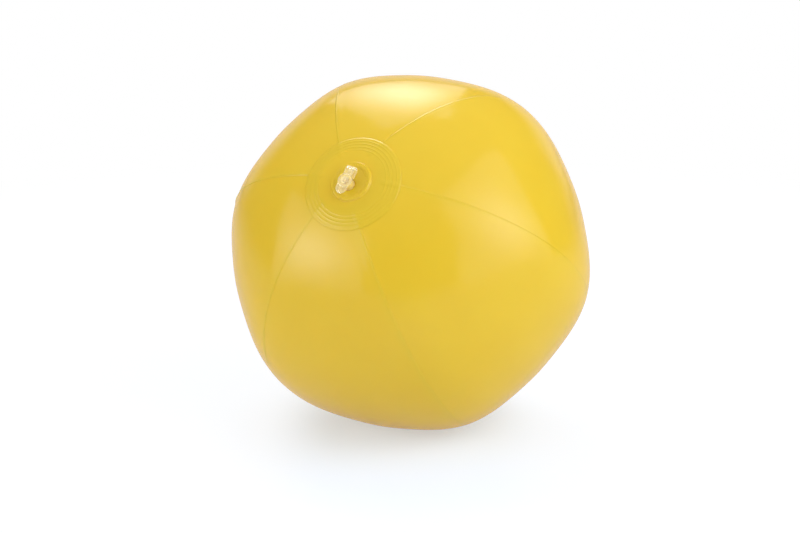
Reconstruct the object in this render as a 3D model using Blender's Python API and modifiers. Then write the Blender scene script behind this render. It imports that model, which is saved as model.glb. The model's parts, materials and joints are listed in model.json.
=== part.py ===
"""Inflatable beach ball standing on the floor, in metres with +Z up.

Six film panels meet at lap-welded seams around a pole axis that leans forward in the YZ plane.
A round patch closes each pole. The valve sits in the front patch: flange, rolled neck, stem,
non-return flap, plug and the strap that ties the plug to the stem.
Everything is modelled around its pole axis and leaned over by the parent empty ball_axis.
The front patch and the valve hang from patch_axis, which is tilted a little off that pole.
"""

import math

import bmesh
import bpy
from mathutils import Matrix, Vector

# Ball envelope
PANEL_COUNT = 6
PANEL_RADIUS = 0.128  # at the equator, in the middle of a panel
SEAM_RISE = 0.006  # how far a seam stands out past the panel middles at the equator
SEAM_SHARPNESS = 1.7  # power of the rise from panel middle to seam
POLE_HEIGHT = 0.121  # centre to pole
FULLNESS = 2.12  # superellipse power of the side view, 2 being an ellipse
POLE_LEAN = math.radians(52)  # pole axis away from upright
FOOT_PRESS = 0.002  # how deep the film is pressed flat where the ball stands

# Film and seams
FILM = 0.00025
GAP = 0.0003  # clearance between pieces that touch
LAP_WIDTH = 0.003  # overlap of two panels at a seam
LAP_CLIMB = 0.0016  # run over which the upper film climbs onto the lower one
TIP_RADIUS = 0.022  # opening that the panel tips leave at each pole

# Pole patches
PATCH_RADIUS = 0.0352
PATCH_FILM = 0.0003
PATCH_HOLE = 0.0066  # opening around the valve
PATCH_DRIFT = 0.0057  # how far the valve's patch sits off the point where the seams meet
PATCH_DRIFT_TURN = math.radians(330)  # towards the middle of the sixth panel
WELD_RINGS = (0.0273, 0.0297, 0.0322)  # radii of the weld beads
WELD_WIDTH = 0.0014
WELD_RISE = 0.00025

# Valve
VALVE_TURN = math.radians(82)  # direction of the strap around the patch's axis
VALVE_SHIFT = 0.003  # valve axis off the patch's middle, away from the strap
FLANGE_RADIUS = 0.014
FLANGE_BORE = 0.0064
FLANGE_THICK = 0.0008
NECK_WALL = 0.0005
STEM_RADIUS = 0.0045
STEM_BORE = 0.0027
STEM_LENGTH = 0.0125
STEM_STAND = 0.006  # mouth above the patch
STEM_EDGE = 0.0004  # chamfer of the stem's rims
FLAP_RADIUS = 0.004
FLAP_THICK = 0.0005
PLUG_RADIUS = 0.0049
PLUG_THICK = 0.002
PLUG_EDGE = 0.0005  # chamfer of the head's rims
PIN_LENGTH = 0.004
PIN_TIP_RADIUS = 0.0016  # the pin tapers so that it swings clear of the bore
TAB_RADIUS = 0.0041
TAB_REACH = 0.0101  # valve axis to the end of the pull tab
TAB_THICK = 0.0014
STRAP_WIDTH = 0.0066
STRAP_THICK = 0.0012
STRAP_BEND = 0.0024  # radius of the bend at mid-thickness
STRAP_REACH = 0.0115  # valve axis to the outside of the bend

# Mesh fineness
PANEL_ROWS = 28
PANEL_INNER_COLUMNS = 8
PATCH_STEPS = 32
VALVE_STEPS = 28
NECK_POINTS = 7
STRAP_BEND_POINTS = 9
CROWN_PASSES = 5
MERGE = 0.00001

# Derived places, in the ball's own frame with +Z along the pole where the seams meet
PANEL_ANGLE = 2 * math.pi / PANEL_COUNT
UP = Vector((0, math.sin(POLE_LEAN), math.cos(POLE_LEAN)))
LAP_LIFT = FILM + GAP
PATCH_LIFT = LAP_LIFT + GAP + PATCH_FILM
PATCH_TILT = Matrix.Rotation(
    PATCH_DRIFT / POLE_HEIGHT, 3, (-math.sin(PATCH_DRIFT_TURN), math.cos(PATCH_DRIFT_TURN), 0)
)
STRAP_WAY = Vector((math.cos(VALVE_TURN), math.sin(VALVE_TURN), 0))
PLUG_SEAT = GAP  # underside of the plug's head above the stem's mouth
HINGE_REACH = STRAP_REACH - STRAP_THICK / 2 - STRAP_BEND
HINGE_HEIGHT = PLUG_SEAT + PLUG_THICK / 2 - STRAP_BEND

YELLOW_FILM = ("yellow_pvc_film", (0.76, 0.50, 0.045, 1), 0.3)
CLEAR_VINYL = ("clear_soft_pvc", (0.80, 0.66, 0.30, 1), 0.2)


def blown_point(polar, turn):
    """Outer face of the film, at an angle from that pole and a turn from the first seam."""
    reach = math.sin(polar)
    rise = math.cos(polar)
    radius = PANEL_RADIUS * reach ** (2 / FULLNESS)
    height = math.copysign(POLE_HEIGHT * abs(rise) ** (2 / FULLNESS), rise)
    off_middle = abs(2 * (turn / PANEL_ANGLE % 1) - 1)
    radius += SEAM_RISE * reach**2 * off_middle**SEAM_SHARPNESS
    return Vector((radius * math.cos(turn), radius * math.sin(turn), height))


def polar_at(radius):
    """Angle from the pole at which a panel's middle is this far from the pole axis."""
    return math.asin((radius / PANEL_RADIUS) ** (FULLNESS / 2))


def crown(radius):
    """Height of the film above the ball's centre near a pole, along the seams, where it is highest."""
    seam_share = 1 + SEAM_RISE / PANEL_RADIUS * math.sin(polar_at(radius))
    return POLE_HEIGHT * (1 - (radius / seam_share / PANEL_RADIUS) ** FULLNESS) ** (1 / FULLNESS)


def patch_crown(radius):
    """Height of the highest film this far from the valve patch's own axis, measured along that axis."""
    heights = []
    for step in range(PATCH_STEPS):
        turn = 2 * math.pi * step / PATCH_STEPS
        height = crown(radius)
        for _ in range(CROWN_PASSES):
            point = PATCH_TILT @ Vector((radius * math.cos(turn), radius * math.sin(turn), height))
            height += crown(math.hypot(point.x, point.y)) - point.z
        heights.append(height)
    return max(heights)


def rest_height():
    """Height of the ball's centre above the floor, with a panel's middle pressed flat on it."""
    down_turn = 1.5 * math.pi
    depths = [-UP.dot(blown_point(math.radians(angle), down_turn)) for angle in range(90, 180)]
    return max(depths) - FOOT_PRESS


REST_HEIGHT = rest_height()
PATCH_TOP = patch_crown(FLANGE_RADIUS) + PATCH_LIFT + FLANGE_THICK  # flat top over the flange
FLANGE_TOP = PATCH_TOP - PATCH_FILM - GAP
MOUTH = PATCH_TOP + STEM_STAND


def film_point(polar, turn, lift):
    """The blown film raised by a lift, and pressed flat where it would reach below the floor."""
    point = blown_point(polar, turn)
    point += point.normalized() * lift
    above_floor = point.dot(UP) + REST_HEIGHT
    if above_floor < 0:
        point -= UP * above_floor
    return point


def make_collection(name):
    collection = bpy.data.collections.new(name)
    bpy.context.scene.collection.children.link(collection)
    return collection


def make_material(name, colour, roughness):
    material = bpy.data.materials.get(name)
    if material is None:
        material = bpy.data.materials.new(name)
        material.use_nodes = True
        shader = material.node_tree.nodes["Principled BSDF"]
        shader.inputs["Base Color"].default_value = colour
        shader.inputs["Roughness"].default_value = roughness
        shader.inputs["Metallic"].default_value = 0
    return material


def make_empty(collection, name, parent=None, location=(0, 0, 0), rotation=(0, 0, 0)):
    empty = bpy.data.objects.new(name, None)
    empty.parent = parent
    empty.location = location
    empty.rotation_euler = rotation
    empty.empty_display_size = PATCH_HOLE
    collection.objects.link(empty)
    return empty


def make_object(collection, name, mesh, parent, finish):
    obj = bpy.data.objects.new(name, mesh)
    obj.parent = parent
    collection.objects.link(obj)
    mesh.materials.append(make_material(*finish))
    mesh.shade_smooth()
    return obj


def mesh_from(bm, name):
    mesh = bpy.data.meshes.new(name)
    bm.to_mesh(mesh)
    bm.free()
    return mesh


def grid_mesh(name, columns, rows, place):
    """A grid primitive whose point in each column and row is moved to place(column, row)."""
    bm = bmesh.new()
    bmesh.ops.create_grid(bm, x_segments=columns - 1, y_segments=rows - 1, size=0.5)
    for vert in bm.verts:
        column = round((vert.co.x + 0.5) * (columns - 1))
        row = round((vert.co.y + 0.5) * (rows - 1))
        vert.co = place(column, row)
    return mesh_from(bm, name)


def profile_mesh(name, points, closed):
    """A profile in the XZ plane, as (radius, height) points joined by edges."""
    bm = bmesh.new()
    verts = [bm.verts.new((radius, 0, height)) for radius, height in points]
    followers = verts[1:] + verts[:1] if closed else verts[1:]
    for vert, follower in zip(verts, followers):
        bm.edges.new((vert, follower))
    return mesh_from(bm, name)


def ring_mesh(name, rings, way, closed):
    """Rings of points around Z joined by faces, given as (radius, height, shift of the middle along way)."""
    bm = bmesh.new()
    loops = []
    for radius, height, shift in rings:
        loop = []
        for step in range(PATCH_STEPS):
            turn = 2 * math.pi * step / PATCH_STEPS
            point = Vector((radius * math.cos(turn), radius * math.sin(turn), height))
            loop.append(bm.verts.new(point + way * shift))
        loops.append(loop)
    followers = loops[1:] + loops[:1] if closed else loops[1:]
    for loop, follower in zip(loops, followers):
        for i in range(PATCH_STEPS):
            bm.faces.new((loop[i - 1], follower[i - 1], follower[i], loop[i]))
    return mesh_from(bm, name)


def add_screw(obj, steps):
    screw = obj.modifiers.new("Turn", "SCREW")
    screw.axis = "Z"
    screw.angle = 2 * math.pi
    screw.steps = steps
    screw.render_steps = steps
    screw.use_merge_vertices = True
    screw.merge_threshold = MERGE


def add_shell(obj, thickness, offset):
    shell = obj.modifiers.new("Film", "SOLIDIFY")
    shell.thickness = thickness
    shell.offset = offset
    shell.use_even_offset = True


def panel_columns(ring_radius):
    """(turn past the panel's first seam, lift) of each column on a ring of the ball.

    The first edge lies under the neighbour's and the last edge lies over the next one's.
    """
    half_lap = LAP_WIDTH / 2 / ring_radius
    climbed = PANEL_ANGLE - half_lap - 2 * GAP / ring_radius
    flat_end = climbed - LAP_CLIMB / ring_radius
    inner = [(flat_end * i / PANEL_INNER_COLUMNS, 0) for i in range(PANEL_INNER_COLUMNS + 1)]
    raised = [(climbed, LAP_LIFT), (PANEL_ANGLE, LAP_LIFT), (PANEL_ANGLE + half_lap, LAP_LIFT)]
    return [(-half_lap, 0)] + inner + raised


def make_panel(collection, parent, index):
    """One gore of film, from tip opening to tip opening."""
    first_polar = polar_at(TIP_RADIUS)
    row_angle = (math.pi - 2 * first_polar) / (PANEL_ROWS - 1)
    columns = len(panel_columns(PANEL_RADIUS))

    def place(column, row):
        polar = math.pi - first_polar - row * row_angle
        ring_radius = PANEL_RADIUS * math.sin(polar) ** (2 / FULLNESS)
        turn, lift = panel_columns(ring_radius)[column]
        return film_point(polar, index * PANEL_ANGLE + turn, lift)

    name = f"panel_{index + 1}"
    panel = make_object(
        collection, name, grid_mesh(name, columns, PANEL_ROWS, place), parent, YELLOW_FILM
    )
    add_shell(panel, FILM, -1)


def patch_margin(film_height):
    """Patch profile points of the weld rings, from the innermost out, and of the rim."""
    points = []
    for radius in WELD_RINGS:
        points += [
            (radius - WELD_WIDTH / 2, film_height(radius - WELD_WIDTH / 2) + PATCH_LIFT),
            (radius, film_height(radius) + PATCH_LIFT + WELD_RISE),
            (radius + WELD_WIDTH / 2, film_height(radius + WELD_WIDTH / 2) + PATCH_LIFT),
        ]
    points.append((PATCH_RADIUS, film_height(PATCH_RADIUS) + PATCH_LIFT))
    return points


def make_valve_patch(collection, parent):
    """Film disc over the panel tips, raised over the valve's flange, with its hole around the stem."""
    step_start = FLANGE_RADIUS + GAP
    step_end = step_start + FLANGE_THICK + PATCH_FILM
    profile = [
        (step_start, PATCH_TOP),
        (step_end, patch_crown(step_end) + PATCH_LIFT),
        (TIP_RADIUS, patch_crown(TIP_RADIUS) + PATCH_LIFT),
    ]
    profile += patch_margin(patch_crown)
    rings = [(PATCH_HOLE, PATCH_TOP, -VALVE_SHIFT)]
    rings += [(radius, height, 0) for radius, height in profile]
    mesh = ring_mesh("valve_patch", rings, STRAP_WAY, closed=False)
    patch = make_object(collection, "valve_patch", mesh, parent, YELLOW_FILM)
    add_shell(patch, PATCH_FILM, -1)


def make_end_patch(collection, parent):
    """Plain film disc over the panel tips at the far pole."""
    inner_radii = (0, FLANGE_RADIUS / 2, FLANGE_RADIUS, TIP_RADIUS)
    profile = [(radius, crown(radius) + PATCH_LIFT) for radius in inner_radii]
    profile += patch_margin(crown)
    mesh = profile_mesh("end_patch", profile, closed=False)
    patch = make_object(collection, "end_patch", mesh, parent, YELLOW_FILM)
    patch.rotation_euler = (math.pi, 0, 0)
    add_screw(patch, PATCH_STEPS)
    add_shell(patch, PATCH_FILM, -1)


def make_flange(collection, parent):
    """Flat disc welded under the patch's middle, with its bore around the stem, placed from the mouth."""
    top = FLANGE_TOP - MOUTH
    bottom = top - FLANGE_THICK
    rings = [
        (FLANGE_BORE, top, 0),
        (FLANGE_RADIUS, top, VALVE_SHIFT),
        (FLANGE_RADIUS, bottom, VALVE_SHIFT),
        (FLANGE_BORE, bottom, 0),
    ]
    mesh = ring_mesh("valve_flange", rings, Vector((1, 0, 0)), closed=True)
    make_object(collection, "valve_flange", mesh, parent, CLEAR_VINYL)


def make_neck(collection, parent):
    """Thin cup that hangs from the flange's bore and carries the stem's inner end."""
    outer_radius = FLANGE_BORE - GAP - NECK_WALL / 2
    inner_radius = STEM_RADIUS + GAP
    top = FLANGE_TOP - FLANGE_THICK / 2 - MOUTH
    bottom = NECK_WALL + STEM_EDGE - STEM_LENGTH
    profile = []
    for i in range(NECK_POINTS):
        angle = math.pi / 2 * i / (NECK_POINTS - 1)
        radius = inner_radius + (outer_radius - inner_radius) * math.cos(angle)
        profile.append((radius, top - (top - bottom) * math.sin(angle)))
    mesh = profile_mesh("valve_neck", profile, closed=False)
    neck = make_object(collection, "valve_neck", mesh, parent, CLEAR_VINYL)
    add_screw(neck, VALVE_STEPS)
    add_shell(neck, NECK_WALL, 0)


def make_stem(collection, parent):
    """Open tube, with its mouth at the parent's origin."""
    profile = [
        (STEM_BORE, 0),
        (STEM_RADIUS - STEM_EDGE, 0),
        (STEM_RADIUS, -STEM_EDGE),
        (STEM_RADIUS, STEM_EDGE - STEM_LENGTH),
        (STEM_RADIUS - STEM_EDGE, -STEM_LENGTH),
        (STEM_BORE, -STEM_LENGTH),
    ]
    mesh = profile_mesh("valve_stem", profile, closed=True)
    stem = make_object(collection, "valve_stem", mesh, parent, CLEAR_VINYL)
    add_screw(stem, VALVE_STEPS)


def make_flap(collection, parent):
    """Disc against the stem's inner end, with its origin on the hinge at its edge."""
    bm = bmesh.new()
    bmesh.ops.create_cone(
        bm, cap_ends=True, segments=VALVE_STEPS, radius1=FLAP_RADIUS, radius2=FLAP_RADIUS, depth=FLAP_THICK
    )
    bmesh.ops.translate(bm, verts=bm.verts, vec=(FLAP_RADIUS, 0, -FLAP_THICK / 2))
    make_object(collection, "valve_flap", mesh_from(bm, "valve_flap"), parent, CLEAR_VINYL)


def make_plug(collection, cutters, parent):
    """Head and tapered pin turned in one piece, joined to the pull tab beside it."""
    head_bottom = PLUG_SEAT
    head_top = PLUG_SEAT + PLUG_THICK
    pin_end = head_bottom - PIN_LENGTH
    profile = [
        (0, head_top),
        (PLUG_RADIUS - PLUG_EDGE, head_top),
        (PLUG_RADIUS, head_top - PLUG_EDGE),
        (PLUG_RADIUS, head_bottom + PLUG_EDGE),
        (PLUG_RADIUS - PLUG_EDGE, head_bottom),
        (STEM_BORE - GAP, head_bottom),
        (PIN_TIP_RADIUS, pin_end),
        (0, pin_end),
    ]
    to_valve_axis = (-HINGE_REACH, 0, -HINGE_HEIGHT)
    mesh = profile_mesh("valve_plug", profile, closed=False)
    plug = make_object(collection, "valve_plug", mesh, parent, CLEAR_VINYL)
    plug.location = to_valve_axis
    add_screw(plug, VALVE_STEPS)

    bm = bmesh.new()
    bmesh.ops.create_cone(
        bm, cap_ends=True, segments=VALVE_STEPS, radius1=TAB_RADIUS, radius2=TAB_RADIUS, depth=TAB_THICK
    )
    tab = make_object(cutters, "pull_tab", mesh_from(bm, "pull_tab"), parent, CLEAR_VINYL)
    tab_middle = Vector((TAB_RADIUS - TAB_REACH, 0, (head_bottom + head_top) / 2))
    tab.location = Vector(to_valve_axis) + tab_middle
    tab.hide_render = True
    tab.display_type = "WIRE"
    join = plug.modifiers.new("Join tab", "BOOLEAN")
    join.operation = "UNION"
    join.object = tab


def strap_path():
    """(distance from the valve axis, height above the mouth) along the strap, from plug to stem."""
    upper = HINGE_HEIGHT + STRAP_BEND
    lower = HINGE_HEIGHT - STRAP_BEND
    path = [(PLUG_RADIUS + GAP, upper)]
    for i in range(STRAP_BEND_POINTS):
        angle = math.pi * i / (STRAP_BEND_POINTS - 1)
        reach = HINGE_REACH + STRAP_BEND * math.sin(angle)
        path.append((reach, HINGE_HEIGHT + STRAP_BEND * math.cos(angle)))
    path.append((STEM_RADIUS + GAP, lower))
    return path


def make_strap(collection, parent):
    """Flat tether, bent double beside the plug."""
    path = strap_path()

    def place(column, row):
        reach, height = path[row]
        return Vector((reach, (column - 0.5) * STRAP_WIDTH, height))

    mesh = grid_mesh("plug_strap", 2, len(path), place)
    strap = make_object(collection, "plug_strap", mesh, parent, CLEAR_VINYL)
    add_shell(strap, STRAP_THICK, 0)


def main():
    for obj in list(bpy.data.objects):
        bpy.data.objects.remove(obj)
    ball = make_collection("beach_ball")
    cutters = make_collection("cutters")

    ball_axis = make_empty(ball, "ball_axis", None, (0, 0, REST_HEIGHT), (POLE_LEAN, 0, 0))
    patch_axis = make_empty(ball, "patch_axis", ball_axis, (0, 0, 0), PATCH_TILT.to_euler())
    mouth = Vector((0, 0, MOUTH)) - STRAP_WAY * VALVE_SHIFT
    valve_axis = make_empty(ball, "valve_axis", patch_axis, mouth, (0, 0, VALVE_TURN))
    plug_hinge = make_empty(ball, "plug_hinge", valve_axis, (HINGE_REACH, 0, HINGE_HEIGHT))
    flap_hinge = make_empty(ball, "flap_hinge", valve_axis, (-FLAP_RADIUS, 0, -STEM_LENGTH - GAP))

    for index in range(PANEL_COUNT):
        make_panel(ball, ball_axis, index)
    make_valve_patch(ball, patch_axis)
    make_end_patch(ball, ball_axis)
    make_flange(ball, valve_axis)
    make_neck(ball, valve_axis)
    make_stem(ball, valve_axis)
    make_flap(ball, flap_hinge)
    make_plug(ball, cutters, plug_hinge)
    make_strap(ball, valve_axis)


main()
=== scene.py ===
"""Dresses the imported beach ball: blown film panels, welded patches and a clear valve in a white studio."""

import json
import math

import bmesh
import bpy
from bpy.props import FloatProperty, FloatVectorProperty, IntProperty, PointerProperty
from mathutils import Matrix, Vector


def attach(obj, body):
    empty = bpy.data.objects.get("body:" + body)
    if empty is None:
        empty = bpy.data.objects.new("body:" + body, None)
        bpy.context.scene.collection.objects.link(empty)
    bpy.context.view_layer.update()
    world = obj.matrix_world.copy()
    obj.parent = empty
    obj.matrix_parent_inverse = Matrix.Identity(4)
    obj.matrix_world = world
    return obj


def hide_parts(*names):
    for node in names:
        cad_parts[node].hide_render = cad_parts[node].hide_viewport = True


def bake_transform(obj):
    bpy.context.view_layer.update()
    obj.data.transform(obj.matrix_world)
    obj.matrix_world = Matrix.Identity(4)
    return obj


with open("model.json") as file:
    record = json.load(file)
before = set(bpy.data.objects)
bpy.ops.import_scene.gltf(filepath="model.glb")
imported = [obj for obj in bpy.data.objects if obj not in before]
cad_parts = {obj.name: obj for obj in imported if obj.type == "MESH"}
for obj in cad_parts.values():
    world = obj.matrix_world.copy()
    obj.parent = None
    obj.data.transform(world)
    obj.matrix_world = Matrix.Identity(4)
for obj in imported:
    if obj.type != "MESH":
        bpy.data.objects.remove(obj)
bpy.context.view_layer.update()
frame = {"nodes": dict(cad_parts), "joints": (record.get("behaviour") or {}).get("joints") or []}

bl_info = {
    "name": "Beach ball",
    "version": (1, 0, 0),
    "blender": (4, 5, 0),
    "location": "View3D > Sidebar > Beach ball",
    "description": "Dresses the packed ball in welded yellow film and a clear valve",
    "category": "Object",
}

JOINTS = {joint["name"]: joint for joint in frame["joints"]}
VALVE_AXIS = Vector(JOINTS["stem_pull"]["axis"])
HINGE_AXIS = Vector(JOINTS["plug_flip"]["axis"])
PLUG_HINGE = Vector(JOINTS["plug_flip"]["pos_m"])
STRAP_WAY = HINGE_AXIS.cross(VALVE_AXIS)

MATH = "ShaderNodeMath"
VECTOR_MATH = "ShaderNodeVectorMath"
MAP_RANGE = "ShaderNodeMapRange"
MIX = "ShaderNodeMix"
NOISE = "ShaderNodeTexNoise"
BUMP = "ShaderNodeBump"
WHITE = (1, 1, 1, 1)

# Makes a Map Range change smoothly from its first to its last value.
EASED = {"interpolation_type": "SMOOTHSTEP"}


def linear(code):
    """Turns an sRGB hex colour into the linear colour that nodes take."""
    shares = [int(code[i : i + 2], 16) / 255 for i in (1, 3, 5)]
    lit = [share / 12.92 if share <= 0.04045 else ((share + 0.055) / 1.055) ** 2.4 for share in shares]
    return (*lit, 1.0)


def number(name, description, default):
    return FloatProperty(name=name, description=description, default=default)


def whole_number(name, description, default, least):
    return IntProperty(name=name, description=description, default=default, min=least)


def length(name, description, default):
    return FloatProperty(name=name, description=description, default=default, unit="LENGTH", precision=5)


def angle(name, description, degrees):
    turn = math.radians(degrees)
    return FloatProperty(name=name, description=description, default=turn, unit="ROTATION", subtype="ANGLE")


def colour(name, description, code):
    return FloatVectorProperty(
        name=name, description=description, default=linear(code), size=4, subtype="COLOR", min=0, max=1
    )


class BallSizes(bpy.types.PropertyGroup):
    """Shape of the blown ball and of its film panels."""

    panel_count: whole_number("Panels", "Film panels around the ball", 6, 3)
    panel_radius: length("Panel radius", "From the pole axis to a panel's middle", 0.128)
    seam_rise: length("Seam rise", "How far the seams stand out past the panels' middles", 0.0053)
    seam_sharpness: number("Seam sharpness", "Two is a plain wave across a panel, more a sharper ridge", 3.1)
    pole_height: length("Pole height", "From the ball's centre to a pole", 0.121)
    fullness: number("Fullness", "Two gives an ellipse along a panel, more a squarer bow", 2.12)
    pole_lean: angle("Pole lean", "How far the valve's pole leans from upright", 52)
    foot_press: length("Foot press", "How far the panel underneath is pressed flat", 0.002)
    tip_radius: length("Tip radius", "Opening that the panels leave around each pole", 0.022)
    film: length("Film", "Thickness of the film", 0.00025)
    lap_width: length("Lap width", "Width of film over film at a seam", 0.002)
    lap_climb: length("Lap climb", "Width over which a panel climbs onto its neighbour", 0.005)
    lap_lift: length("Lap lift", "Height of the upper film at a lap, pressed into the lower", 0.00014)
    bead_rise: length("Bead rise", "Height of the weld bead along a lap", 0.0001)
    bead_width: length("Bead width", "Width of the weld bead along a lap", 0.0013)
    proud_seam: whole_number("Proud seam", "Seam whose weld edge stands up", 3, 1)
    proud_edge: length("Proud edge", "How far that weld edge stands up at the belly", 0.0012)
    belly_lap: number("Belly lap", "Share of a lap's height that is left at the belly", 0.35)


class PatchSizes(bpy.types.PropertyGroup):
    """The round film patches that close the poles."""

    radius: length("Radius", "Outer radius of a patch", 0.0352)
    film: length("Film", "Thickness of the patch film", 0.0003)
    lift: length("Lift", "Height of the patch above the panels", 0.00042)
    hole: length("Hole", "Radius of the hole around the valve stem", 0.00445)
    drift: length("Drift", "How far the valve patch sits off the point where the seams meet", 0.0057)
    drift_turn: angle("Drift turn", "Way that the valve patch sits off, from the first seam", 330)
    ring_radius: length("First weld ring", "Radius of the innermost weld ring", 0.02485)
    ring_pitch: length("Weld ring pitch", "Distance between weld rings", 0.00245)
    ring_count: whole_number("Weld rings", "Weld rings near a patch's rim", 4, 0)
    ring_width: length("Weld ring width", "Width of a weld ring", 0.0014)
    ring_rise: length("Weld ring rise", "Height of a weld ring", 0.00012)
    step_radius: length("Step radius", "Edge of the raised middle over the valve's flange", 0.0139)
    step_width: length("Step width", "Width over which the raised middle slopes down", 0.0012)
    seam_show: length("Seam show", "How far the laps under a patch show through it", 0.0002)
    rib_count: whole_number("Weld ribs", "Short ribs welded around the valve", 60, 3)
    rib_radius: length("Rib radius", "Middle of the weld ribs, from the patch's axis", 0.0116)
    rib_length: length("Rib length", "Length of a weld rib", 0.0026)
    rib_width: length("Rib width", "Width of a weld rib", 0.00055)
    rib_rise: length("Rib rise", "Height of a weld rib", 0.00024)


class ValveSizes(bpy.types.PropertyGroup):
    """The clear moulded valve, measured from the stem's mouth."""

    shift: length("Shift", "The valve's axis off the patch's middle, away from the strap", 0.003)
    hinge_reach: length("Hinge reach", "From the valve's axis to the strap's bend", 0.0085)
    hinge_height: length("Hinge height", "The strap's bend above the mouth", -0.0011)
    stem_radius: length("Stem radius", "Outer radius of the stem", 0.0045)
    stem_bore: length("Stem bore", "Radius of the stem's bore", 0.0027)
    stem_length: length("Stem length", "Length of the stem", 0.0125)
    stem_stand: length("Stem stand", "How far the stem stands above the patch", 0.006)
    stem_lip: length("Stem lip", "Width of the bead around the stem's mouth", 0.0007)
    neck_radius: length("Neck radius", "Outer radius of the neck at the flange", 0.0061)
    neck_wall: length("Neck wall", "Thickness of the neck", 0.0005)
    neck_top: length("Neck top", "The neck's outer end below the mouth", 0.0070)
    neck_bottom: length("Neck bottom", "The neck's inner end below the mouth", 0.0116)
    plug_radius: length("Plug radius", "Radius of the plug's head", 0.0049)
    plug_seat: length("Plug seat", "The underside of the plug's head above the mouth", 0.0003)
    plug_thick: length("Plug thickness", "Thickness of the plug's head", 0.002)
    plug_edge: length("Plug edge", "Rounding of the plug's head", 0.0006)
    dimple_radius: length("Dimple radius", "Hollow in the top of the plug's head", 0.0026)
    dimple_depth: length("Dimple depth", "Depth of that hollow", 0.00045)
    nub_radius: length("Nub radius", "Gate nub that the mould leaves in the hollow", 0.0009)
    nub_rise: length("Nub rise", "Height of the gate nub", 0.0007)
    pin_length: length("Pin length", "Length of the pin under the plug's head", 0.004)
    pin_tip: length("Pin tip", "Radius of the pin's tip", 0.0016)
    tab_radius: length("Tab radius", "Half of the pull tab's width", 0.0041)
    tab_reach: length("Tab reach", "From the valve's axis to the tab's end", 0.0101)
    tab_thick: length("Tab thickness", "Thickness of the pull tab", 0.0014)
    tab_rim: length("Tab rim", "Radius of the bead around the pull tab", 0.00065)
    strap_width: length("Strap width", "Width of the strap", 0.0066)
    strap_thick: length("Strap thickness", "Thickness of the strap", 0.0012)
    strap_bend: length("Strap bend", "Radius of the strap's bend", 0.0024)


class Finishes(bpy.types.PropertyGroup):
    """Colours of the film, the vinyl and the studio floor."""

    film: colour("Film", "Yellow film seen straight on", "#E6D53B")
    film_deep: colour("Deep film", "Yellow film where the pigment is a little denser", "#E5D339")
    film_double: colour("Double film", "Two layers of yellow film at a lap", "#E6D53B")
    film_glow: colour("Film glow", "Light that comes through the yellow film", "#FBD738")
    vinyl: colour("Clear vinyl", "Tint of the clear plug and strap", "#FFF8DC")
    tinted_vinyl: colour("Tinted vinyl", "Tint of the stem and its neck", "#FBEC9C")
    floor: colour("Floor", "Studio floor", "#B5BAC3")


def add_node(tree, kind, *values, named=None, **settings):
    """Adds a node, feeds its open inputs in order and by name, and returns its first open output.

    A socket is linked, None leaves an input as it is, and any other value is set on the input.
    """
    node = tree.nodes.new(kind)
    for key, value in settings.items():
        setattr(node, key, value)
    feeds = list(zip([socket for socket in node.inputs if socket.enabled], values))
    feeds += [(node.inputs[key], value) for key, value in (named or {}).items()]
    for socket, value in feeds:
        if isinstance(value, bpy.types.NodeSocket):
            tree.links.new(value, socket)
        elif value is not None:
            socket.default_value = value
    return next((socket for socket in node.outputs if socket.enabled), node)


def new_material(name):
    """A material with an empty node tree."""
    material = bpy.data.materials.new(name)
    material.use_nodes = True
    material.node_tree.nodes.clear()
    return material


PVC_IOR = 1.53

# The part of a noise's values that most of a surface has.
NOISE_SPAN = (0.3, 0.7)

PIGMENT_DRIFT = 0.028
PIGMENT_SPAN = (0.36, 0.64)
ROLLER_BLOOM = 0.011
ROLLER_GRAIN = 0.0016
FILM_ROUGHNESS = (0.14, 0.17)
FILM_GLOW = 0.45

FLOW_MARKS = 0.0018
MOULD_HAZE = 0.004
VINYL_ROUGHNESS = (0.05, 0.1)


def calendered_film():
    """Calendered PVC film: pigmented, lets light through, and glossy from the polished rollers.

    The eye sees a saturated yellow that glows from the light inside the ball, soft-edged highlights,
    slow drifts in depth where the pigment is denser, and a faint roller grain.
    """
    name = "calendered_yellow_pvc_film"
    if name in bpy.data.materials:
        return bpy.data.materials[name]
    finish = bpy.context.scene.ball_finishes
    material = new_material(name)
    tree = material.node_tree
    place = add_node(tree, "ShaderNodeTexCoord").node.outputs["Object"]

    drift = add_node(tree, NOISE, named={"Vector": place, "Scale": 1 / PIGMENT_DRIFT})
    density = add_node(tree, MAP_RANGE, drift, *PIGMENT_SPAN, 0.0, 1.0)
    single = add_node(tree, MIX, density, finish.film, finish.film_deep, data_type="RGBA")
    doubled = add_node(tree, "ShaderNodeAttribute", attribute_name="film_layers").node.outputs["Fac"]
    yellow = add_node(tree, MIX, doubled, single, finish.film_double, data_type="RGBA")
    bloom = add_node(tree, NOISE, named={"Vector": place, "Scale": 1 / ROLLER_BLOOM, "Detail": 3.0})
    rough = add_node(tree, MAP_RANGE, bloom, *NOISE_SPAN, *FILM_ROUGHNESS)

    # Real roller grain is finer than this, and would not show at this size.
    grain = add_node(tree, NOISE, named={"Vector": place, "Scale": 1 / ROLLER_GRAIN})
    surface = add_node(tree, BUMP, named={"Height": grain, "Strength": 0.05, "Distance": 0.000012})
    body = add_node(
        tree,
        "ShaderNodeBsdfPrincipled",
        named={"Base Color": yellow, "Roughness": rough, "IOR": PVC_IOR, "Normal": surface},
    )
    glow = add_node(tree, "ShaderNodeBsdfTranslucent", finish.film_glow)
    film = add_node(tree, "ShaderNodeMixShader", FILM_GLOW, body, glow)
    add_node(tree, "ShaderNodeOutputMaterial", film)
    return material


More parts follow.
